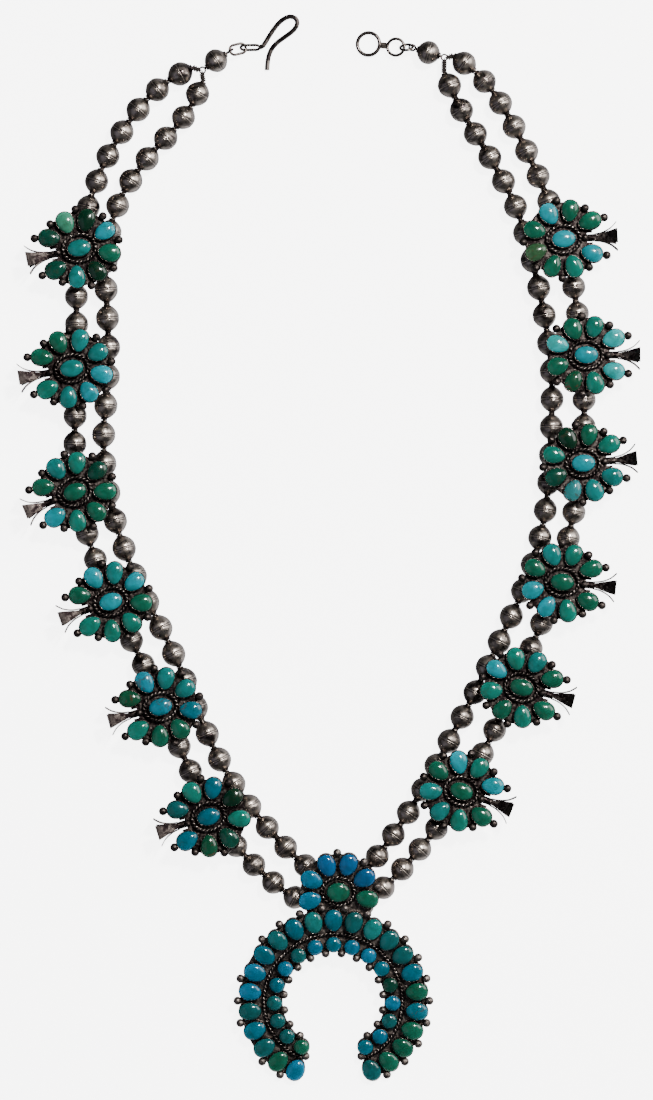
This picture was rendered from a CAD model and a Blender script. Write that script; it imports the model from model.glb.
"""Looks of a double-strand silver bead necklace with turquoise blossoms and a crescent pendant."""

import math

import bmesh
import bpy
from bpy.props import FloatProperty, FloatVectorProperty, IntProperty, PointerProperty
from mathutils import Matrix, Vector


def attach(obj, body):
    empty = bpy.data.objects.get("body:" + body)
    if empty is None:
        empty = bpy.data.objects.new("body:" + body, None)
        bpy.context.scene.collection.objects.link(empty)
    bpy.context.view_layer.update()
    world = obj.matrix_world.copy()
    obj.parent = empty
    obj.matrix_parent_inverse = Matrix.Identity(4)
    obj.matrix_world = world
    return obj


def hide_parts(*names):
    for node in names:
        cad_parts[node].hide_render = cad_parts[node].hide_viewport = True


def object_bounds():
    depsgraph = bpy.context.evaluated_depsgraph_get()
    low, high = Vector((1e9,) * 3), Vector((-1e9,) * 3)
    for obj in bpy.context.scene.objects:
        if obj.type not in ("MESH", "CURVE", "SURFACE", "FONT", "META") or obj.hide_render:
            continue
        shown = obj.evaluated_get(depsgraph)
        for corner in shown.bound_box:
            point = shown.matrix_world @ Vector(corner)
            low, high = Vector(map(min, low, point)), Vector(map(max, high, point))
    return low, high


bl_info = {
    "name": "Squash Blossom Necklace",
    "version": (1, 0, 0),
    "blender": (4, 5, 0),
    "location": "View3D > Sidebar > Necklace",
    "description": "Beads, stones, bezels and finishes of a blossom necklace, and a plain stage for it",
    "category": "Object",
}

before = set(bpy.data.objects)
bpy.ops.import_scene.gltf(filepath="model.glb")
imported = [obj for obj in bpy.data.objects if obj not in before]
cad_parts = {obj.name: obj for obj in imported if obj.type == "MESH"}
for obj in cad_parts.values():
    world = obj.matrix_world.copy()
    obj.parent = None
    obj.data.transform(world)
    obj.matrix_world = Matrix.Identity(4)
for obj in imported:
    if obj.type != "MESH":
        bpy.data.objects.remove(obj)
CAD_BOX = [list(corner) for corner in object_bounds()]

# All tables below are in millimetres and degrees, in the layout of the metal parts
MM = 0.001
LAYOUT = Matrix.Translation((-0.73, -0.57, 0.0))
THREAD_Z = 4.0
SHANK_STEP = 0.28

# Columns: beads passed, shanks passed, x, y
STRINGS = {
    "outer_left": (
        (0, 0, -44.6, 160.8), (1.5, 0, -56.5, 153.6), (3.5, 0, -68.2, 139.2), (5.5, 0, -76.7, 122.8),
        (8, 0.5, -82.6, 99.4), (9.5, 1, -83.3, 84.3), (12, 1.5, -83.1, 59.8), (14, 2, -83.9, 39.8),
        (16, 2.5, -82.9, 19.9), (18, 3, -78.5, 0.8), (20, 3.5, -71.4, -17.3), (22, 4, -62.9, -34.5),
        (24, 4.5, -54.9, -52.1), (26, 5, -47.2, -70), (28, 5.5, -38.6, -87.3), (29.5, 6, -30.1, -99.1),
        (31.5, 6, -17.7, -111.4), (32.5, 6, -10.5, -116.4), (34, 6, 1.3, -122),
    ),
    "outer_right": (
        (0, 0, 42.5, 164.8), (1.5, 0, 53.1, 156.3), (3.5, 0, 62.8, 141), (5.5, 0, 70.8, 124.5),
        (8, 0.5, 79.6, 102), (9.5, 1, 82.7, 87.5), (12, 1.5, 85.4, 64.2), (14, 2, 86.2, 45.5),
        (16, 2.5, 85.2, 26.7), (18, 3, 81.8, 8), (20, 3.5, 77.2, -10.8), (22, 4, 70.2, -29),
        (24, 4.5, 62.5, -46.9), (26, 5, 54.3, -64.4), (28, 5.5, 45, -81.3), (29.5, 6, 36.9, -93.3),
        (31.5, 6, 25.5, -106.9), (32.5, 6, 19.2, -113.1), (34, 6, 8.8, -121.3),
    ),
    "inner_left": (
        (0, 0, -40.9, 156), (1.5, 0, -47.3, 143.9), (3.5, 0, -59.8, 130.4), (5.5, 0, -69.8, 114.8),
        (7.5, 0, -73.5, 96.3), (9.5, 0, -72.9, 77), (11.5, 0, -72.5, 57.6), (13.5, 0, -74.4, 38.2),
        (15.5, 0, -72.6, 18.9), (17.5, 0, -67.5, 0.2), (19.5, 0, -59.6, -17.6), (21.5, 0, -50.8, -34.9),
        (23.5, 0, -43.3, -52.8), (25.5, 0, -35.7, -70.3), (27.5, 0, -25.5, -85.9), (29.5, 0, -13.5, -99.6),
        (30.5, 0, -7, -105.7), (32, 0, 3.7, -113.5),
    ),
    "inner_right": (
        (0, 0, 39.4, 158.9), (1.5, 0, 45.1, 146.4), (3.5, 0, 54.7, 130.8), (5.5, 0, 63.4, 114.4),
        (7.5, 0, 68.8, 96.4), (9.5, 0, 72.9, 78), (11.5, 0, 75.3, 59.4), (13.5, 0, 75.2, 40.7),
        (15.5, 0, 74.4, 22.2), (17.5, 0, 71.5, 3.8), (19.5, 0, 65.7, -13.9), (21.5, 0, 57.8, -30.9),
        (23.5, 0, 49.8, -47.8), (25.5, 0, 41, -64.1), (27.5, 0, 32.3, -80.3), (29.5, 0, 22.5, -95.4),
        (30.5, 0, 17.2, -102.6), (32, 0, 8.5, -112.5),
    ),
}
OUTER_BEADS, INNER_BEADS, SHANKS, FIRST_SHANK, SHANK_EVERY = 34, 32, 6, 8, 4
# Columns: x, y, direction of the clasp
END_BEADS = {"left": (-36.7, 163, 34.7), "right": (34.2, 165.7, 163)}
# From an end bead's middle to its end, and to the ring that both threads hang in
END_BEAD_REACH, JOINT_RING_REACH = 4.15, 5.55
# Directions in which the outer and the inner thread leave the ring at an end bead
THREAD_TURNS = {"left": (180, -98), "right": (-8, -92)}

# Columns: x, y, turn of the stem, colours of the eight petal stones and the heart stone
BLOSSOMS = (
    (-82, 100, 192, "dtxgdlxs", "t"), (-84.5, 60, 190, "Ttssggtt", "t"), (-83.5, 19, 202, "sTgggtTd", "g"),
    (-71.5, -17.5, 199, "TTTggsts", "s"), (-55, -52.5, 195.5, "TggBGMtt", "M"), (-39, -89, 197.5, "bGdTeTbx", "b"),
    (79, 103, 4, "ggsgsTgo", "s"), (86.5, 64.5, 0.5, "kTgkkTGg", "s"), (85.5, 28.5, 5.5, "TgxTttSd", "s"),
    (78.5, -11, -6, "gTtggTss", "g"), (65, -46, -15, "gtTsgTgT", "g"), (45, -80.5, -21, "sTsggTtt", "g"),
)
BLOSSOM_Z = 8.3
# Columns: angle from the stem, distance from the heart, turn of the stone
PETALS = ((30.5, 10.5, 15.5), (73.5, 9.6, 76), (116.2, 9.6, 116.2), (159, 10.1, 159))
PETAL_TAPER = 0.16
# Length and width of the twisted wire round a heart, in the blossoms and in the rosette
BLOSSOM_ROPE, ROSETTE_ROPE = (11.0, 9.2), (10.8, 9.6)

# Colours of the crescent's stones from the left tip to the right tip
OUTER_ROW = "ugebeuubebtbeteebgBggge"
INNER_ROW = "geeebueubuubdueub"
ROSETTE = ("gUUUuu", "g")
NAJA_LEAN = math.radians(8.1)
NAJA = Matrix.Translation((2.5, -150.8, 3.78)) @ Matrix.Rotation(NAJA_LEAN, 4, "X")
ROSETTE_AT, ROSETTE_R, ROSETTE_TURN, ROSETTE_STEP = Vector((1.6, 37.5, 0.0)), 9.8, 91.7, 41.9
OUTER_R, ROPE_R, INNER_R = 28.0, 23.1, 19.8
OUTER_SWEEP, INNER_SWEEP, TIP_PULL = 302.5, 290.0, 0.06
# How far the crescent's domes swell over their cups, in millimetres
NAJA_SPREAD = 0.26
# The twisted wires' height over their plate, and the points along the crescent's one
ROPE_LIFT, ROPE_POINTS = 0.75, 420
# Length, width, taper, spread
ROW_STONE = (7.0, 5.5, 0.08, NAJA_SPREAD)
ROSETTE_STONE = (7.1, 5.5, 0.12, NAJA_SPREAD)
ROSETTE_HEART = (7.2, 6.1, 0.0, NAJA_SPREAD)

# A stone's colour, and how much brown matrix runs through it
STONE_COLOURS = {
    "k": ((0.025, 0.42, 0.45), 0.1), "s": ((0.006, 0.31, 0.40), 0.1), "S": ((0.03, 0.25, 0.28), 0.6),
    "t": ((0.003, 0.19, 0.19), 0.0), "T": ((0.004, 0.18, 0.14), 0.1), "e": ((0.002, 0.11, 0.12), 0.0),
    "b": ((0.002, 0.13, 0.20), 0.0), "u": ((0.002, 0.17, 0.32), 0.0), "U": ((0.002, 0.10, 0.27), 0.1),
    "B": ((0.004, 0.15, 0.22), 0.5), "M": ((0.004, 0.24, 0.36), 0.5), "g": ((0.004, 0.12, 0.072), 0.1),
    "G": ((0.006, 0.08, 0.04), 0.8), "l": ((0.045, 0.27, 0.17), 0.2), "d": ((0.002, 0.06, 0.04), 0.2),
    "x": ((0.002, 0.03, 0.015), 0.3), "o": ((0.04, 0.11, 0.05), 0.4),
}


class NecklaceBeads(bpy.types.PropertyGroup):
    radius: FloatProperty(name="Radius", description="Bead radius over the seam, in millimetres", default=4.0)
    bore: FloatProperty(name="Bore", description="Radius of the thread hole, in millimetres", default=0.85)
    gap: FloatProperty(name="Gap", description="Room between two beads, in millimetres", default=0.02)
    segments: IntProperty(name="Segments", description="Steps round a bead", default=24, min=12)
    wrap: FloatProperty(
        name="Wrap", description="Width of one turn of thread at the strands' ends", default=0.7,
    )
    silver: FloatVectorProperty(
        name="Silver", description="Worn silver", subtype="COLOR", default=(0.50, 0.44, 0.39),
    )
    patina: FloatVectorProperty(
        name="Patina", description="Tarnish", subtype="COLOR", default=(0.035, 0.025, 0.028),
    )


class NecklaceStones(bpy.types.PropertyGroup):
    height: FloatProperty(name="Height", description="Stone height, in millimetres", default=3.1)
    rim: FloatProperty(name="Rim", description="Height of the widest line, in millimetres", default=1.62)
    spread: FloatProperty(
        name="Spread", description="How far a dome swells over its cup, in millimetres", default=0.18,
    )
    petal_length: FloatProperty(
        name="Petal length", description="Petal stone length, in millimetres", default=7.1,
    )
    petal_width: FloatProperty(
        name="Petal width", description="Petal stone width, in millimetres", default=5.4,
    )
    heart_length: FloatProperty(
        name="Heart length", description="Heart stone length, in millimetres", default=7.5,
    )
    heart_width: FloatProperty(
        name="Heart width", description="Heart stone width, in millimetres", default=5.4,
    )
    pea: FloatProperty(
        name="Pea", description="Diameter of the inner row's stones, in millimetres", default=4.7,
    )
    matrix: FloatVectorProperty(
        name="Matrix", description="Brown veins", subtype="COLOR", default=(0.06, 0.035, 0.02),
    )


class NecklaceSilver(bpy.types.PropertyGroup):
    plate: FloatProperty(name="Plate", description="Plate thickness, in millimetres", default=0.9)
    wall: FloatProperty(name="Wall", description="Bezel height over the plate, in millimetres", default=1.7)
    teeth: IntProperty(name="Teeth", description="Teeth round a bezel", default=18, min=8)
    rope: FloatProperty(name="Twisted wire", description="Radius of one strand, in millimetres", default=0.42)
    pitch: FloatProperty(name="Twist", description="Length of one twist, in millimetres", default=2.6)
    rope_rub: FloatProperty(
        name="Wire wear", description="How bright the twisted wires are rubbed", default=0.8,
    )
    bright: FloatVectorProperty(
        name="Bright", description="Rubbed silver", subtype="COLOR", default=(0.28, 0.24, 0.22),
    )
    black: FloatVectorProperty(
        name="Black", description="Blackened hollows", subtype="COLOR", default=(0.016, 0.011, 0.012),
    )


class NecklaceStage(bpy.types.PropertyGroup):
    distance: FloatProperty(name="Distance", description="Camera height", default=1.5, unit="LENGTH")
    view_height: FloatProperty(
        name="View height", description="Height of the picture", default=0.36667, unit="LENGTH",
    )
    key: FloatProperty(name="Key light", description="Power of the main light", default=26.0, unit="POWER")
    side: FloatProperty(
        name="Side light", description="Power of the soft light on the right", default=21.0, unit="POWER",
    )
    fill: FloatProperty(
        name="Fill light", description="Power of the wide cool light", default=3.0, unit="POWER",
    )
    glow: FloatProperty(
        name="Glow", description="Light that the floor itself gives, as on a light table", default=6.0,
    )


def wobble(i):
    """Small steady differences between handmade pieces."""
    return math.sin(math.radians(i * 137)) * 0.6 + math.sin(math.radians(i * 61 + 40)) * 0.4


def polar(r, a):
    return Vector((r * math.cos(math.radians(a)), r * math.sin(math.radians(a)), 0.0))


def turn_z(a):
    return Matrix.Rotation(math.radians(a), 4, "Z")


def spot(rows, u):
    """The place along a string, u beads from its start."""
    chain = [row[0] + row[1] * SHANK_STEP for row in rows]
    places = [Vector((row[2], row[3])) for row in rows]
    j = max([k for k in range(len(rows) - 1) if chain[k] <= u + 1e-4], default=0)

    def slope(k):
        a, b = max(k - 1, 0), min(k + 1, len(rows) - 1)
        return (places[b] - places[a]) / (chain[b] - chain[a])

    w = chain[j + 1] - chain[j]
    t = (u - chain[j]) / w
    m, n = slope(j) * w, slope(j + 1) * w
    p = places[j] * (2 * t**3 - 3 * t**2 + 1) + m * (t**3 - 2 * t**2 + t)
    p += places[j + 1] * (3 * t**2 - 2 * t**3) + n * (t**3 - t**2)
    return Vector((p.x, p.y, THREAD_Z))


def bead_start(i, shanks):
    passed = 0 if shanks == 0 or i < FIRST_SHANK else min(shanks, 1 + (i - FIRST_SHANK) // SHANK_EVERY)
    return i + passed * SHANK_STEP


def bead_places(rows, count, shanks, gap, collar):
    """The two ends of every bead on a string."""
    spans = [(spot(rows, bead_start(i, shanks)), spot(rows, bead_start(i, shanks) + 1)) for i in range(count)]
    ends = []
    for i, (p, q) in enumerate(spans):
        d = (q - p).normalized()
        trims = []
        for other in (i - 1, i + 1):
            bend = 0.0
            if 0 <= other < count:
                bend = d.angle((spans[other][1] - spans[other][0]).normalized())
            trims.append(gap / 2 + collar * math.sin(bend / 2))
        ends.append((p + trims[0] * d, q - trims[1] * d))
    return ends


def aim_z(p, q):
    """A matrix that puts +Z along p to q, with the middle of the two at its origin."""
    return Matrix.Translation((p + q) / 2) @ (q - p).to_track_quat("Z", "Y").to_matrix().to_4x4()


def in_blossom(b):
    x, y, turn = BLOSSOMS[b][:3]
    return LAYOUT @ Matrix.Translation((x, y, BLOSSOM_Z)) @ turn_z(turn)


def petal(b, k, stones):
    """Place on the blossom, length and width of a petal stone."""
    angle, r, own = PETALS[k % 4]
    side = 1 if k < 4 else -1
    i = b * 8 + k
    place = Matrix.Translation(polar(r, side * angle)) @ turn_z(side * own + 4 * wobble(i + 5))
    return place, stones.petal_length * (1 + 0.04 * wobble(i)), stones.petal_width * (1 + 0.05 * wobble(i + 3))


def blossom_name(b):
    return f"blossom_{'left' if b < 6 else 'right'}_{b % 6 + 1}"


def blossom_parts(b, stones):
    """Place, size, colour and seed of a blossom's eight petal stones, then of its heart stone."""
    petal_colours, heart_colour = BLOSSOMS[b][3:]
    parts = []
    for k, colour in enumerate(petal_colours):
        place, length, width = petal(b, k, stones)
        parts.append((in_blossom(b) @ place, (length, width, PETAL_TAPER, stones.spread), colour, b * 8 + k))
    heart = (stones.heart_length, stones.heart_width, 0.0, stones.spread)
    return parts + [(in_blossom(b), heart, heart_colour, b + 100)]


def row_place(r, sweep, t):
    """A place on one of the crescent's rows, t from -1 at its left tip to 1 at its right one."""
    return Matrix.Translation(polar(r * (1 - TIP_PULL * abs(t) ** 8), 90 - t * sweep / 2))


def outer_row_place(i):
    t = 2 * i / (len(OUTER_ROW) - 1) - 1
    return row_place(OUTER_R, OUTER_SWEEP, t) @ turn_z(90 - t * OUTER_SWEEP / 2 + 4 * wobble(i + 200))


def inner_row_place(i):
    return row_place(INNER_R, INNER_SWEEP, 2 * i / (len(INNER_ROW) - 1) - 1)


def rosette_place(k):
    turn = ROSETTE_TURN + ROSETTE_STEP * (k - 2.5)
    return Matrix.Translation(ROSETTE_AT + polar(ROSETTE_R, turn)) @ turn_z(turn)


def crescent_parts(stones):
    """The same four columns for the outer row, the inner row, the rosette's petals and its heart."""
    world = LAYOUT @ NAJA
    pea = (stones.pea, stones.pea, 0.0, NAJA_SPREAD)
    outer = [(world @ outer_row_place(i), ROW_STONE, colour, 300 + i) for i, colour in enumerate(OUTER_ROW)]
    inner = [(world @ inner_row_place(i), pea, colour, 350 + i) for i, colour in enumerate(INNER_ROW)]
    petals = [(world @ rosette_place(k), ROSETTE_STONE, colour, 400 + k) for k, colour in enumerate(ROSETTE[0])]
    heart = (world @ Matrix.Translation(ROSETTE_AT), ROSETTE_HEART, ROSETTE[1], 410)
    return outer, inner, petals, heart


def finish_piece(name, bm, material, replaces=()):
    """Turns a mesh built in millimetres into a piece that rides on the necklace."""
    bmesh.ops.scale(bm, vec=(MM, MM, MM), verts=bm.verts)
    mesh = bpy.data.meshes.new(name)
    bm.to_mesh(mesh)
    bm.free()
    for face in mesh.polygons:
        face.use_smooth = True
    mesh.materials.append(material)
    piece = bpy.data.objects.new(name, mesh)
    bpy.context.collection.objects.link(piece)
    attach(piece, "root")
    if replaces:
        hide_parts(*replaces)
    return piece


def stamp(bm, template, matrix, marks=None):
    """Adds a copy of a template mesh, moved by matrix, with its vertex marks filled in."""
    before = len(bm.verts)
    mesh = template.copy()
    mesh.transform(matrix)
    bm.from_mesh(mesh)
    bpy.data.meshes.remove(mesh)
    bm.verts.ensure_lookup_table()
    for layer, value in (marks or {}).items():
        for v in bm.verts[before:]:
            v[layer] = value


# Half of a bead's outline. Columns: share of its half length, share of its radius, and tarnish,
# which is below 0 on the rubbed seam
BEAD_ROWS = (
    (0.0, 1.0, -1.0), (0.02, 0.998, -1.0), (0.036, 0.988, -0.8), (0.05, 0.958, 1.0), (0.085, 0.975, 0.7),
    (0.13, 0.976, 0.2), (0.2, 0.965, 0.0), (0.28, 0.942, 0.0), (0.38, 0.893, 0.0), (0.48, 0.825, 0.1),
    (0.58, 0.738, 0.2), (0.67, 0.64, 0.3), (0.75, 0.54, 0.5), (0.82, 0.43, 0.8), (0.87, 0.32, 1.0),
    (0.9, 0.28, 0.8), (0.985, 0.275, 0.7), (1.0, 0.25, 1.0),
)


def bead_template(beads):
    """A bead of unit half length: two domes, a soldered seam, two collars and the bore, turned about Z."""
    half = [(r * beads.radius, z, tarnish) for z, r, tarnish in BEAD_ROWS]
    outline = [(r, -z, tarnish) for r, z, tarnish in reversed(half[1:])] + half
    outline += [(beads.bore, 1.0, 1.0), (beads.bore, -1.0, 1.0)]
    bm = bmesh.new()
    wear = bm.verts.layers.float.new("wear")
    ring = [bm.verts.new((r, 0.0, z)) for r, z, tarnish in outline]
    for v, row in zip(ring, outline):
        v[wear] = row[2]
    edges = [bm.edges.new((a, b)) for a, b in zip(ring, ring[1:] + ring[:1])]
    bmesh.ops.spin(
        bm, geom=ring + edges, cent=(0, 0, 0), axis=(0, 0, 1), angle=2 * math.pi,
        steps=beads.segments, use_merge=True,
    )
    bmesh.ops.remove_doubles(bm, verts=bm.verts, dist=1e-5)
    bmesh.ops.recalc_face_normals(bm, faces=bm.faces)
    mesh = bpy.data.meshes.new("bead_template")
    bm.to_mesh(mesh)
    bm.free()
    return mesh


def string_of_beads(bm, places, template, seed):
    tone = bm.verts.layers.float.get("tone") or bm.verts.layers.float.new("tone")
    for i, (p, q) in enumerate(places):
        fat = 1 - 0.006 * abs(wobble(i + seed))
        long = (q - p).length / 2
        shape = Matrix.Diagonal((fat, fat, long, 1.0))
        matrix = LAYOUT @ aim_z(p, q) @ turn_z(97 * (i + seed)) @ shape
        stamp(bm, template, matrix, {tone: 0.5 + 0.5 * wobble(i * 3 + seed)})


def egg(t, ro, length, width, taper, grow):
    """A point of a stone's outline, at the angle t, or a share ro of the way out to it."""
    return Vector((
        (length / 2 + grow) * ro * math.cos(t),
        (width / 2 + grow) * ro * math.sin(t) * (1 + taper * math.cos(t)),
    ))


def dome_template():
    bm = bmesh.new()
    bmesh.ops.create_uvsphere(bm, u_segments=28, v_segments=14, radius=1.0)
    mesh = bpy.data.meshes.new("dome_template")
    bm.to_mesh(mesh)
    bm.free()
    return mesh


def add_stone(bm, template, place, size, colour, seed, stones, silver):
    """A cabochon: a dome that swells a little over the wall of its cup, on a straight side inside it."""
    tint = bm.verts.layers.float_color.get("tint") or bm.verts.layers.float_color.new("tint")
    veins = bm.verts.layers.float.get("veins") or bm.verts.layers.float.new("veins")
    length, width, taper, spread = size
    before = len(bm.verts)
    bm.from_mesh(template)
    bm.verts.ensure_lookup_table()
    base = silver.plate + 0.1
    rgb, matrix = STONE_COLOURS[colour]
    shade = 0.9 + 0.1 * wobble(seed)
    for v in bm.verts[before:]:
        t = math.atan2(v.co.y, v.co.x)
        ro = min(1.0, math.hypot(v.co.x, v.co.y))
        up = v.co.z
        if up > -0.01:
            z = stones.rim + (stones.height - stones.rim) * up
            grow = spread
        else:
            z = stones.rim * max(0.0, 1 - 1.9 * max(0.0, -up - 0.23))
            ro = min(1.0, ro * 1.6)
            grow = -0.02
        flat = egg(t, ro, length, width, taper, grow)
        v.co = place @ Vector((flat.x, flat.y, base + z))
        v[tint] = (rgb[0] * shade, rgb[1] * shade, rgb[2] * shade, 1.0)
        v[veins] = matrix


def ring_template(steps):
    """A square-sectioned ring of unit radius, whose corners are told apart by radius and height."""
    bm = bmesh.new()
    corners = [bm.verts.new(c) for c in ((1.0, 0, 0), (1.0, 0, 1), (0.9, 0, 1), (0.9, 0, 0))]
    edges = [bm.edges.new((a, b)) for a, b in zip(corners, corners[1:] + corners[:1])]
    bmesh.ops.spin(
        bm, geom=corners + edges, cent=(0, 0, 0), axis=(0, 0, 1), angle=2 * math.pi, steps=steps, use_merge=True
    )
    bmesh.ops.remove_doubles(bm, verts=bm.verts, dist=1e-5)
    bmesh.ops.recalc_face_normals(bm, faces=bm.faces)
    mesh = bpy.data.meshes.new("ring_template")
    bm.to_mesh(mesh)
    bm.free()
    return mesh


def add_bezel(bm, template, steps, place, size, silver):
    """The sawtooth edge of a bezel, bent over the stone. Teeth and notches take turns round it."""
    rub = bm.verts.layers.float.get("rub") or bm.verts.layers.float.new("rub")
    length, width, taper, spread = size
    before = len(bm.verts)
    bm.from_mesh(template)
    bm.verts.ensure_lookup_table()
    top = silver.plate + silver.wall
    for v in bm.verts[before:]:
        t = math.atan2(v.co.y, v.co.x)
        tooth = round(t / (2 * math.pi / steps)) % 2 == 0
        outside, high = math.hypot(v.co.x, v.co.y) > 0.95, v.co.z > 0.5
        if high:
            grow = (spread + 0.1 if tooth else 0.42) if outside else (spread - 0.12 if tooth else spread)
            z = top + (0.4 if tooth else 0.05)
        else:
            grow, z = (0.44, top - 0.9) if outside else (0.1, top - 0.3)
        v[rub] = 1.0 if high and tooth else 0.0
        flat = egg(t, 1.0, length, width, taper, grow)
        v.co = place @ Vector((flat.x, flat.y, z))


def twisted_wire(bm, path, up, silver, pitch, closed):
    """Two strands of wire twisted round a path of points, with up as the path's upward side."""
    rub = bm.verts.layers.float.get("rub") or bm.verts.layers.float.new("rub")
    before = len(bm.verts)
    level = path[0].dot(up)
    count = len(path)
    run = 0.0
    strands = ([], [])
    for i, p in enumerate(path):
        ahead = path[(i + 1) % count] if closed or i + 1 < count else path[i]
        behind = path[i - 1] if closed or i else path[i]
        along = (ahead - behind).normalized()
        side = along.cross(up).normalized()
        for s, strand in enumerate(strands):
            a = 2 * math.pi * (run / pitch) + s * math.pi
            strand.append(p + silver.rope * 0.86 * (math.cos(a) * side + math.sin(a) * up))
        if i + 1 < count:
            run += (path[i + 1] - p).length
    for strand in strands:
        curve = bpy.data.curves.new("strand", "CURVE")
        curve.dimensions = "3D"
        curve.bevel_depth = silver.rope
        curve.bevel_resolution = 1
        curve.use_fill_caps = not closed
        spline = curve.splines.new("POLY")
        spline.points.add(count - 1)
        for point, co in zip(spline.points, strand):
            point.co = (co.x, co.y, co.z, 1.0)
        spline.use_cyclic_u = closed
        holder = bpy.data.objects.new("strand", curve)
        mesh = bpy.data.meshes.new_from_object(holder)
        bm.from_mesh(mesh)
        bpy.data.objects.remove(holder)
        bpy.data.curves.remove(curve)
        bpy.data.meshes.remove(mesh)
    bm.verts.ensure_lookup_table()
    for v in bm.verts[before:]:
        v[rub] = min(silver.rope_rub, max(0.0, (v.co.dot(up) - level) / silver.rope * 0.5))


def oval_path(length, width, z, pitch):
    """An oval of points whose length is a whole number of half twists."""
    a, b = length / 2, width / 2
    round_it = math.pi * (3 * (a + b) - math.sqrt((3 * a + b) * (a + 3 * b)))
    turns = max(1, round(round_it / pitch))
    count = turns * 10
    return [Vector((a * math.cos(2 * math.pi * i / count), b * math.sin(2 * math.pi * i / count), z))
            for i in range(count)], round_it / turns


def start_group(name, inputs, outputs):
    """A new shader node group with named sockets, and its two ends."""
    group = bpy.data.node_groups.new(name, "ShaderNodeTree")
    for label, kind, value in inputs:
        socket = group.interface.new_socket(name=label, in_out="INPUT", socket_type=kind)
        socket.default_value = value
    for label, kind in outputs:
        group.interface.new_socket(name=label, in_out="OUTPUT", socket_type=kind)
    return group, group.nodes.new("NodeGroupInput"), group.nodes.new("NodeGroupOutput")


def add_clouds(group, start):
    """A noise in object space, with Scale, Detail and Distortion from the group's inputs."""
    coords = group.nodes.new("ShaderNodeTexCoord")
    noise = group.nodes.new("ShaderNodeTexNoise")
    group.links.new(coords.outputs["Object"], noise.inputs["Vector"])
    for label in ("Scale", "Detail", "Distortion"):
        group.links.new(start.outputs[label], noise.inputs[label])
    return noise.outputs["Fac"]


def add_fade(group, start, source, labels):
    """A smooth ramp whose four limits are the group's inputs with these labels."""
    fade = group.nodes.new("ShaderNodeMapRange")
    fade.interpolation_type = "SMOOTHSTEP"
    group.links.new(source, fade.inputs["Value"])
    for label, limit in zip(labels, ("From Min", "From Max", "To Min", "To Max")):
        group.links.new(start.outputs[label], fade.inputs[limit])
    return fade.outputs["Result"]


CLOUD_INPUTS = (
    ("Scale", "NodeSocketFloat", 500.0), ("Detail", "NodeSocketFloat", 3.0), ("Distortion", "NodeSocketFloat", 0.0),
    ("Low", "NodeSocketFloat", 0.3), ("High", "NodeSocketFloat", 0.7),
)


def cloud_mask():
    """Soft blotches: a mask from Thin to Full where a noise climbs from Low to High."""
    if "cloud_mask" in bpy.data.node_groups:
        return bpy.data.node_groups["cloud_mask"]
    inputs = CLOUD_INPUTS + (("Thin", "NodeSocketFloat", 0.0), ("Full", "NodeSocketFloat", 1.0))
    group, start, end = start_group("cloud_mask", inputs, [("Mask", "NodeSocketFloat")])
    mask = add_fade(group, start, add_clouds(group, start), ("Low", "High", "Thin", "Full"))
    group.links.new(mask, end.inputs["Mask"])
    return group


def worn_silver():
    """Silver under uneven tarnish: its colour, and a roughness from Smooth to Rough in fine grain."""
    if "worn_silver" in bpy.data.node_groups:
        return bpy.data.node_groups["worn_silver"]
    inputs = (
        ("Tarnish", "NodeSocketFloat", 0.5), ("Silver", "NodeSocketColor", (0.5, 0.5, 0.5, 1.0)),
        ("Patina", "NodeSocketColor", (0.02, 0.02, 0.02, 1.0)), *CLOUD_INPUTS,
        ("Smooth", "NodeSocketFloat", 0.25), ("Rough", "NodeSocketFloat", 0.45),
    )
    outputs = (("Color", "NodeSocketColor"), ("Roughness", "NodeSocketFloat"))
    group, start, end = start_group("worn_silver", inputs, outputs)
    blend = group.nodes.new("ShaderNodeMix")
    blend.data_type = "RGBA"
    colours = {socket.name: socket for socket in blend.inputs if socket.type == "RGBA"}
    group.links.new(start.outputs["Tarnish"], blend.inputs["Factor"])
    group.links.new(start.outputs["Silver"], colours["A"])
    group.links.new(start.outputs["Patina"], colours["B"])
    blended = next(socket for socket in blend.outputs if socket.type == "RGBA")
    group.links.new(blended, end.inputs["Color"])
    grain = add_fade(group, start, add_clouds(group, start), ("Low", "High", "Smooth", "Rough"))
    group.links.new(grain, end.inputs["Roughness"])
    return group


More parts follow.
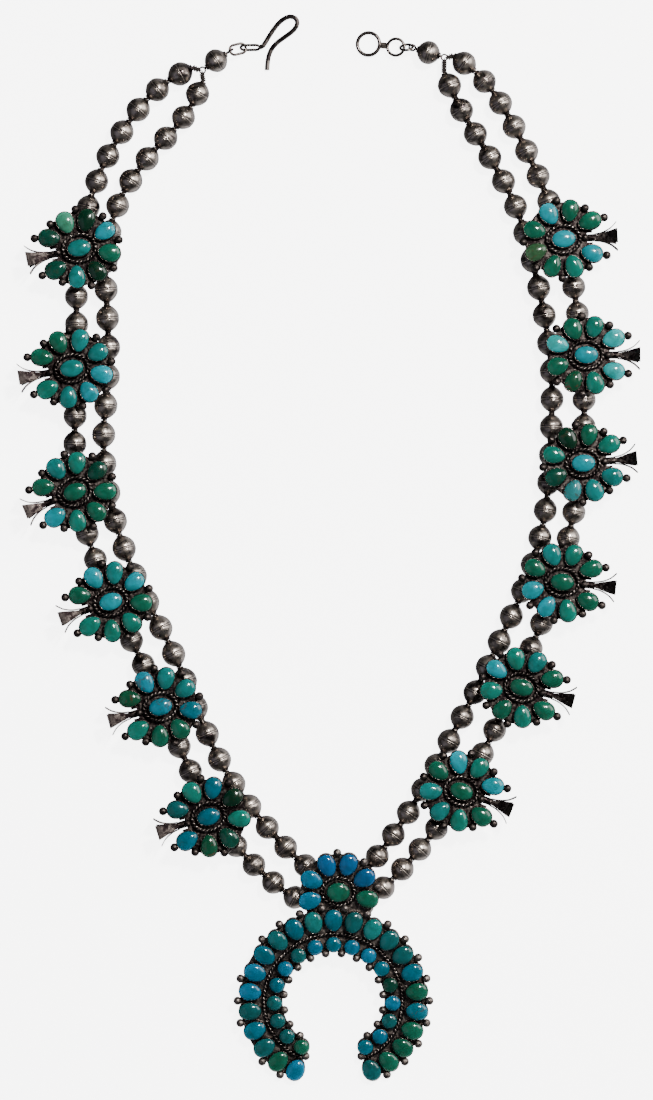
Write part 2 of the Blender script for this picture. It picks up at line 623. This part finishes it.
class MaterialTree:
    """A short way to write a material's node tree."""

    def __init__(self, name):
        self.material = bpy.data.materials.new(name)
        self.material.use_nodes = True
        self.tree = self.material.node_tree
        self.shader = self.tree.nodes["Principled BSDF"]
        self.coords = self.tree.nodes.new("ShaderNodeTexCoord").outputs["Object"]

    def link(self, source, target):
        self.tree.links.new(source, target)

    def noise(self, scale, detail=3.0, distortion=0.0, stretch=None):
        node = self.tree.nodes.new("ShaderNodeTexNoise")
        node.inputs["Scale"].default_value = scale
        node.inputs["Detail"].default_value = detail
        node.inputs["Distortion"].default_value = distortion
        source = self.coords
        if stretch:
            mapping = self.tree.nodes.new("ShaderNodeMapping")
            mapping.inputs["Scale"].default_value = stretch
            self.link(source, mapping.inputs["Vector"])
            source = mapping.outputs["Vector"]
        self.link(source, node.inputs["Vector"])
        return node.outputs["Fac"]

    def group(self, tree, **values):
        """A node group, with a value or a link for each named input."""
        node = self.tree.nodes.new("ShaderNodeGroup")
        node.node_tree = tree
        for name, value in values.items():
            if isinstance(value, bpy.types.NodeSocket):
                self.link(value, node.inputs[name])
            else:
                node.inputs[name].default_value = value
        return node

    def clouds(self, scale, detail, distortion, low, high, thin=0.0, full=1.0):
        node = self.group(cloud_mask(), Scale=scale, Detail=detail, Distortion=distortion,
                          Low=low, High=high, Thin=thin, Full=full)
        return node.outputs["Mask"]

    def silver(self, tarnish, silver, patina, scale, detail, smooth, rough):
        """Feeds the shader from the shared silver group."""
        node = self.group(worn_silver(), Tarnish=tarnish, Silver=(*silver, 1.0), Patina=(*patina, 1.0),
                          Scale=scale, Detail=detail, Smooth=smooth, Rough=rough)
        self.link(node.outputs["Color"], self.shader.inputs["Base Color"])
        self.link(node.outputs["Roughness"], self.shader.inputs["Roughness"])
        self.set(Metallic=1.0)

    def ramp(self, source, low, high, start=0.0, end=1.0):
        node = self.tree.nodes.new("ShaderNodeMapRange")
        node.interpolation_type = "SMOOTHSTEP"
        self.link(source, node.inputs["Value"])
        for name, value in (("From Min", low), ("From Max", high), ("To Min", start), ("To Max", end)):
            node.inputs[name].default_value = value
        return node.outputs["Result"]

    def maths(self, operation, a, b):
        node = self.tree.nodes.new("ShaderNodeMath")
        node.operation = operation
        node.use_clamp = True
        for socket, value in zip(node.inputs, (a, b)):
            if isinstance(value, (int, float)):
                socket.default_value = value
            else:
                self.link(value, socket)
        return node.outputs[0]

    def mix(self, factor, a, b, blend="MIX"):
        node = self.tree.nodes.new("ShaderNodeMix")
        node.data_type = "RGBA"
        node.blend_type = blend
        for socket, value in ((node.inputs["Factor"], factor), (node.inputs["A"], a), (node.inputs["B"], b)):
            if isinstance(value, (int, float)):
                socket.default_value = value
            elif isinstance(value, bpy.types.NodeSocket):
                self.link(value, socket)
            else:
                socket.default_value = (*value, 1.0)
        return node.outputs["Result"]

    def attribute(self, name, output="Fac"):
        node = self.tree.nodes.new("ShaderNodeAttribute")
        node.attribute_name = name
        return node.outputs[output]

    def bump(self, height, distance, strength=1.0):
        node = self.tree.nodes.new("ShaderNodeBump")
        node.inputs["Distance"].default_value = distance
        node.inputs["Strength"].default_value = strength
        self.link(height, node.inputs["Height"])
        self.link(node.outputs["Normal"], self.shader.inputs["Normal"])

    def set(self, **values):
        for name, value in values.items():
            self.shader.inputs[name.replace("_", " ")].default_value = value


def made(name):
    return bpy.data.materials.get(name)


def bead_silver():
    if made("bead_metal"):
        return made("bead_metal")
    beads = bpy.context.scene.necklace_beads
    m = MaterialTree("bead_metal")
    blotch = m.clouds(260.0, 5.0, 0.6, 0.38, 0.66)
    blotch = m.maths("MULTIPLY", blotch, m.ramp(m.attribute("tone"), 0.0, 1.0, 0.4, 1.0))
    split = m.tree.nodes.new("ShaderNodeSeparateXYZ")
    m.link(m.coords, split.inputs["Vector"])
    under = m.ramp(split.outputs["Z"], 0.0066, 0.004, 0.0, 0.8)
    tarnish = m.maths("MAXIMUM", m.maths("MAXIMUM", m.attribute("wear"), blotch), under)
    scratch = m.ramp(m.noise(700.0, 2.0, 0.0, (0.25, 1.0, 0.6)), 0.60, 0.66)
    tarnish = m.maths("SUBTRACT", tarnish, m.maths("MULTIPLY", scratch, 0.45))
    tarnish = m.maths("SUBTRACT", tarnish, m.maths("MULTIPLY", m.attribute("wear"), -0.9))
    m.silver(tarnish, beads.silver, beads.patina, 700.0, 4.0, 0.24, 0.42)
    m.bump(m.mix(0.5, m.noise(900.0, 6.0, 0.3), scratch), 0.00008, 0.6)
    return m.material


def clasp_silver(name="clasp_metal", dark=0.6):
    """The wires' silver. dark is the tarnish in its cleanest patches."""
    if made(name):
        return made(name)
    beads = bpy.context.scene.necklace_beads
    m = MaterialTree(name)
    blotch = m.clouds(420.0, 4.0, 0.4, 0.3, 0.7, dark, 0.96)
    m.silver(blotch, [c * 1.1 for c in beads.silver], beads.patina, 900.0, 4.0, 0.22, 0.36)
    m.bump(m.noise(1500.0, 4.0), 0.00003, 0.5)
    return m.material


def setting_silver(name, lean, foot, rub_from, rub_to, shine, ground, glint):
    """Blackened silver whose rubbed edges and ball tops are bright.

    lean and foot give the plate's plane. The rub begins and ends at two heights over it, in millimetres.
    shine is how bright it gets, and ground to glint the range of the bright specks on the plate itself.
    """
    if made(name):
        return made(name)
    silver = bpy.context.scene.necklace_silver
    m = MaterialTree(name)
    lift = m.tree.nodes.new("ShaderNodeVectorMath")
    lift.operation = "DOT_PRODUCT"
    m.link(m.coords, lift.inputs[0])
    lift.inputs[1].default_value = (0.0, -math.sin(lean), math.cos(lean))
    height = m.maths("SUBTRACT", lift.outputs["Value"], foot)
    rubbed = m.ramp(height, rub_from * MM, rub_to * MM)
    worn = m.maths("MULTIPLY", rubbed, m.clouds(900.0, 4.0, 0.4, 0.36, 0.62, 0.25 * shine, shine))
    worn = m.maths("MAXIMUM", worn, m.clouds(620.0, 5.0, 0.8, 0.46, 0.6, ground, glint))
    m.silver(m.maths("SUBTRACT", 1.0, worn), silver.bright, silver.black, 1100.0, 3.0, 0.34, 0.58)
    m.bump(m.noise(850.0, 5.0, 0.6), 0.0003, 0.8)
    return m.material


def rubbed_silver():
    """The same silver on bezels and twisted wires, rubbed where their vertices say so."""
    if made("rubbed_silver"):
        return made("rubbed_silver")
    silver = bpy.context.scene.necklace_silver
    m = MaterialTree("rubbed_silver")
    worn = m.maths("MULTIPLY", m.attribute("rub"), m.clouds(900.0, 4.0, 0.4, 0.4, 0.66, 0.15, 1.0))
    worn = m.maths("MULTIPLY", worn, m.clouds(110.0, 2.0, 0.0, 0.36, 0.6, 0.45, 1.0))
    bright = [c * 1.4 for c in silver.bright]
    m.silver(m.maths("SUBTRACT", 1.0, worn), bright, silver.black, 1100.0, 3.0, 0.25, 0.42)
    m.bump(m.noise(1600.0, 5.0), 0.00005, 0.6)
    return m.material


def blossom_silver():
    return setting_silver("blossom_silver", 0.0, BLOSSOM_Z * MM, 1.5, 2.7, 0.3, 0.0, 0.3)


def naja_silver():
    origin = LAYOUT @ NAJA @ Vector((0, 0, 0))
    foot = (-math.sin(NAJA_LEAN) * origin.y + math.cos(NAJA_LEAN) * origin.z) * MM
    return setting_silver("naja_silver", NAJA_LEAN, foot, 0.9, 2.3, 1.0, 0.35, 1.0)


def turquoise():
    if made("turquoise_gem"):
        return made("turquoise_gem")
    stones = bpy.context.scene.necklace_stones
    m = MaterialTree("turquoise_gem")
    tint = m.attribute("tint", "Color")
    cloud = m.clouds(240.0, 4.0, 0.8, 0.35, 0.65)
    deep = m.mix(1.0, tint, (0.62, 0.72, 0.66), "MULTIPLY")
    colour = m.mix(cloud, deep, tint)
    fleck = m.clouds(1100.0, 5.0, 0.5, 0.55, 0.75, 0.0, 0.35)
    colour = m.mix(fleck, colour, m.mix(1.0, tint, (1.5, 1.35, 1.25), "MULTIPLY"))
    vein = m.clouds(380.0, 6.0, 1.4, 0.56, 0.62)
    colour = m.mix(m.maths("MULTIPLY", vein, m.attribute("veins")), colour, tuple(stones.matrix))
    m.link(colour, m.shader.inputs["Base Color"])
    m.link(m.clouds(500.0, 3.0, 0.0, 0.3, 0.7, 0.09, 0.18), m.shader.inputs["Roughness"])
    m.bump(m.noise(420.0, 4.0, 0.3), 0.00012, 0.25)
    m.set(IOR=1.6, Coat_Weight=0.25, Coat_Roughness=0.08)
    return m.material


def thread_fibre():
    if made("thread_fibre"):
        return made("thread_fibre")
    m = MaterialTree("thread_fibre")
    strand = m.noise(2600.0, 3.0)
    m.link(m.mix(strand, (0.012, 0.010, 0.010), (0.05, 0.04, 0.038)), m.shader.inputs["Base Color"])
    m.bump(strand, 0.0001, 0.8)
    m.set(Roughness=0.75, Specular_IOR_Level=0.25)
    return m.material


def paper_floor():
    m = MaterialTree("paper_floor")
    m.link(m.mix(m.noise(6.0, 3.0), (0.93, 0.93, 0.93), (0.95, 0.95, 0.95)), m.shader.inputs["Base Color"])
    m.set(Roughness=0.9, Specular_IOR_Level=0.1, Emission_Strength=bpy.context.scene.necklace_stage.glow)
    m.shader.inputs["Emission Color"].default_value = (1.0, 1.0, 1.0, 1.0)
    return m.material


class NECKLACE_OT_strands(bpy.types.Operator):
    """Make the silver beads of both strands, each with its seam, collars and bore"""

    bl_idname = "necklace.strands"
    bl_label = "Bead strands"

    def execute(self, context):
        beads = context.scene.necklace_beads
        template = bead_template(beads)
        collar = 0.27 * beads.radius
        for name, count, shanks in (("outer", OUTER_BEADS, SHANKS), ("inner", INNER_BEADS, 0)):
            bm = bmesh.new()
            for seed, side in enumerate(("left", "right")):
                places = bead_places(STRINGS[f"{name}_{side}"], count, shanks, beads.gap, collar)
                string_of_beads(bm, places, template, seed * 50 + shanks)
            finish_piece(f"strand_{name}", bm, bead_silver(), (f"beads_{name}",))
        for side, (x, y, turn) in END_BEADS.items():
            reach = polar(END_BEAD_REACH, turn)
            middle = Vector((x, y, THREAD_Z))
            bm = bmesh.new()
            string_of_beads(bm, [(middle - reach, middle + reach)], template, 7)
            finish_piece(f"clasp_bead_{side}", bm, bead_silver(), (f"end_bead_{side}",))
        bpy.data.meshes.remove(template)
        bm = bmesh.new()
        for side, (x, y, turn) in END_BEADS.items():
            ring = Vector((x, y, THREAD_Z)) - polar(JOINT_RING_REACH, turn)
            for name, leave in zip(("outer", "inner"), THREAD_TURNS[side]):
                start, stop = ring + polar(1.2, leave), spot(STRINGS[f"{name}_{side}"], 0)
                self.wrap(bm, start, stop, beads)
        finish_piece("thread_wraps", bm, thread_fibre())
        return {"FINISHED"}

    def wrap(self, bm, start, stop, beads):
        """Turns of thread wound side by side round the thread, from its tie to the first bead."""
        along = (stop - start).length
        turns = max(3, round(along / beads.wrap))
        for i in range(turns):
            middle = start.lerp(stop, (i + 0.5) / turns)
            matrix = LAYOUT @ aim_z(middle, middle + (stop - start))
            matrix.translation = LAYOUT @ middle
            lay = matrix @ Matrix.Diagonal((1.0, 1.0, 0.62 * along / turns, 1.0))
            bmesh.ops.create_uvsphere(bm, u_segments=12, v_segments=8, radius=1.0, matrix=lay)


class NECKLACE_OT_blossom_stones(bpy.types.Operator):
    """Make the turquoise petals and heart of every blossom"""

    bl_idname = "necklace.blossom_stones"
    bl_label = "Blossom stones"

    def execute(self, context):
        stones, silver = context.scene.necklace_stones, context.scene.necklace_silver
        template = dome_template()
        for b in range(len(BLOSSOMS)):
            name = blossom_name(b)
            parts = blossom_parts(b, stones)
            for piece, node, chosen in (("petals", "petal_stones", parts[:-1]), ("heart", "heart_stone", parts[-1:])):
                bm = bmesh.new()
                for part in chosen:
                    add_stone(bm, template, *part, stones, silver)
                finish_piece(f"{name}_{piece}", bm, turquoise(), (f"{name}_{node}",))
        bpy.data.meshes.remove(template)
        return {"FINISHED"}


class NECKLACE_OT_naja_stones(bpy.types.Operator):
    """Make the turquoise rows of the crescent and the stones of its rosette"""

    bl_idname = "necklace.naja_stones"
    bl_label = "Crescent stones"

    def execute(self, context):
        stones, silver = context.scene.necklace_stones, context.scene.necklace_silver
        template = dome_template()

        def piece(name, parts, node):
            bm = bmesh.new()
            for part in parts:
                add_stone(bm, template, *part, stones, silver)
            finish_piece(name, bm, turquoise(), (node,) if node else ())

        outer, inner, petals, heart = crescent_parts(stones)
        piece("naja_row_turquoise", outer[1:-1], "naja_row_stones")
        piece("naja_tip_turquoise_left", outer[:1], "naja_tip_stone_left")
        piece("naja_tip_turquoise_right", outer[-1:], "naja_tip_stone_right")
        piece("naja_inner_turquoise", inner, None)
        for k, part in enumerate(petals):
            piece(f"rosette_petal_{k + 1}", [part], f"rosette_petal_stone_{k + 1}")
        piece("rosette_heart", [heart], "rosette_heart_stone")
        bpy.data.meshes.remove(template)
        return {"FINISHED"}


class NECKLACE_OT_bezels(bpy.types.Operator):
    """Make the sawtooth edges that hold the stones, and the twisted wires round them"""

    bl_idname = "necklace.bezels"
    bl_label = "Bezels and twisted wire"

    def execute(self, context):
        stones, silver = context.scene.necklace_stones, context.scene.necklace_silver
        steps = silver.teeth * 2
        template = ring_template(steps)
        for b in range(len(BLOSSOMS)):
            bm = bmesh.new()
            for place, size, colour, seed in blossom_parts(b, stones):
                add_bezel(bm, template, steps, place, size, silver)
            self.rope(bm, in_blossom(b), BLOSSOM_ROPE, silver)
            finish_piece(f"{blossom_name(b)}_bezels", bm, rubbed_silver())
        bm = bmesh.new()
        outer, inner, petals, heart = crescent_parts(stones)
        for place, size, colour, seed in (*outer, *inner, *petals, heart):
            add_bezel(bm, template, steps, place, size, silver)
        self.rope(bm, heart[0], ROSETTE_ROPE, silver)
        world = LAYOUT @ NAJA
        level = Matrix.Translation((0, 0, silver.plate + ROPE_LIFT))
        path = []
        for i in range(ROPE_POINTS + 1):
            at = row_place(ROPE_R, OUTER_SWEEP, 2 * i / ROPE_POINTS - 1)
            path.append(world @ level @ at @ Vector((0, 0, 0)))
        twisted_wire(bm, path, world.to_3x3() @ Vector((0, 0, 1)), silver, silver.pitch, False)
        finish_piece("naja_bezels", bm, rubbed_silver())
        bpy.data.meshes.remove(template)
        return {"FINISHED"}

    def rope(self, bm, place, oval, silver):
        """A closed twisted wire round a heart stone."""
        path, pitch = oval_path(*oval, silver.plate + ROPE_LIFT, silver.pitch)
        twisted_wire(bm, [place @ p for p in path], place.to_3x3() @ Vector((0, 0, 1)), silver, pitch, True)


class NECKLACE_OT_finishes(bpy.types.Operator):
    """Give the metal and thread of the solid parts their finishes"""

    bl_idname = "necklace.finishes"
    bl_label = "Metal and thread finishes"

    def execute(self, context):
        for name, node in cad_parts.items():
            if name.startswith("thread"):
                material = thread_fibre()
            elif name.startswith("naja"):
                material = naja_silver()
            elif name.startswith("blossom") and name.endswith("setting"):
                material = blossom_silver()
            elif "stone" in name:
                material = turquoise()
            elif "bead" in name:
                material = bead_silver()
            elif "wire" in name:
                material = clasp_silver("end_wire_metal", 0.92)
            else:
                material = clasp_silver()
            for index in range(len(node.material_slots)):
                node.material_slots[index].material = material
        return {"FINISHED"}


class NECKLACE_OT_stage(bpy.types.Operator):
    """Set a pale floor, soft lights and the camera straight above"""

    bl_idname = "necklace.stage"
    bl_label = "Stage"

    def execute(self, context):
        stage = context.scene.necklace_stage
        bm = bmesh.new()
        bmesh.ops.create_grid(bm, x_segments=1, y_segments=1, size=1.5)
        mesh = bpy.data.meshes.new("floor")
        bm.to_mesh(mesh)
        bm.free()
        mesh.materials.append(paper_floor())
        floor = bpy.data.objects.new("floor", mesh)
        floor.location.z = min(CAD_BOX[0][2], 0.0)
        context.collection.objects.link(floor)
        floor.visible_glossy = False

        world = bpy.data.worlds.new("studio")
        world.use_nodes = True
        self.shade_world(world.node_tree)
        context.scene.world = world
        self.light("key", (0.45, 0.6, 1.3), 0.16, stage.key, (1.0, 0.97, 0.92))
        self.light("side", (1.5, 0.7, 0.9), 1.3, stage.side, (1.0, 0.98, 0.96))
        self.light("fill", (-1.4, -0.5, 1.3), 2.0, stage.fill, (0.8, 0.8, 1.0))

        camera = bpy.data.objects.new("camera", bpy.data.cameras.new("camera"))
        context.collection.objects.link(camera)
        camera.location = (-0.00056, -0.0009, stage.distance)
        camera.data.sensor_fit = "VERTICAL"
        camera.data.sensor_height = 24.0
        camera.data.lens = 24.0 * (stage.distance - 0.006) / stage.view_height
        camera.data.clip_end = 20.0
        context.scene.camera = camera
        return {"FINISHED"}

    def shade_world(self, tree):
        """Dark overhead, as pale below as paper in the silver's reflections, and brighter to the right."""
        coords = tree.nodes.new("ShaderNodeTexCoord").outputs["Generated"]
        split = tree.nodes.new("ShaderNodeSeparateXYZ")
        tree.links.new(coords, split.inputs["Vector"])
        side = tree.nodes.new("ShaderNodeVectorMath")
        side.operation = "DOT_PRODUCT"
        side.inputs[1].default_value = (0.92, -0.39, 0.0)
        tree.links.new(coords, side.inputs[0])
        both = tree.nodes.new("ShaderNodeMath")
        both.operation = "MULTIPLY"
        limits = ((split.outputs["Z"], 0.15, -0.35, 0.06, 0.85), (side.outputs["Value"], -0.7, 0.7, 0.12, 1.3))
        for factor, (source, *values) in zip(both.inputs, limits):
            fade = tree.nodes.new("ShaderNodeMapRange")
            for name, value in zip(("From Min", "From Max", "To Min", "To Max"), values):
                fade.inputs[name].default_value = value
            tree.links.new(source, fade.inputs["Value"])
            tree.links.new(fade.outputs["Result"], factor)
        background = tree.nodes["Background"]
        background.inputs["Color"].default_value = (0.93, 0.95, 1.0, 1.0)
        tree.links.new(both.outputs["Value"], background.inputs["Strength"])

    def light(self, name, place, size, power, colour):
        data = bpy.data.lights.new(name, "AREA")
        data.color = colour
        data.size = size
        data.energy = power
        lamp = bpy.data.objects.new(name, data)
        bpy.context.collection.objects.link(lamp)
        lamp.location = place
        lamp.rotation_euler = (-Vector(place)).to_track_quat("-Z", "Y").to_euler()


class NECKLACE_PT_panel(bpy.types.Panel):
    bl_label = "Necklace"
    bl_idname = "NECKLACE_PT_panel"
    bl_space_type = "VIEW_3D"
    bl_region_type = "UI"
    bl_category = "Necklace"

    def draw(self, context):
        for operator in OPERATORS:
            self.layout.operator(operator.bl_idname)
        for group in (context.scene.necklace_beads, context.scene.necklace_stones,
                      context.scene.necklace_silver, context.scene.necklace_stage):
            column = self.layout.column()
            for name in group.__annotations__:
                column.prop(group, name)


GROUPS = {
    "necklace_beads": NecklaceBeads, "necklace_stones": NecklaceStones,
    "necklace_silver": NecklaceSilver, "necklace_stage": NecklaceStage,
}
OPERATORS = (
    NECKLACE_OT_strands, NECKLACE_OT_blossom_stones, NECKLACE_OT_naja_stones,
    NECKLACE_OT_bezels, NECKLACE_OT_finishes, NECKLACE_OT_stage,
)


def register():
    for cls in (*GROUPS.values(), *OPERATORS, NECKLACE_PT_panel):
        bpy.utils.register_class(cls)
    for name, cls in GROUPS.items():
        setattr(bpy.types.Scene, name, PointerProperty(type=cls))


def unregister():
    for name in GROUPS:
        delattr(bpy.types.Scene, name)
    for cls in (NECKLACE_PT_panel, *reversed(OPERATORS), *GROUPS.values()):
        bpy.utils.unregister_class(cls)


def main():
    register()
    bpy.ops.necklace.stage()
    bpy.ops.necklace.strands()
    bpy.ops.necklace.blossom_stones()
    bpy.ops.necklace.naja_stones()
    bpy.ops.necklace.bezels()
    bpy.ops.necklace.finishes()
    bpy.context.view_layer.update()


if __name__ == "__main__":
    main()
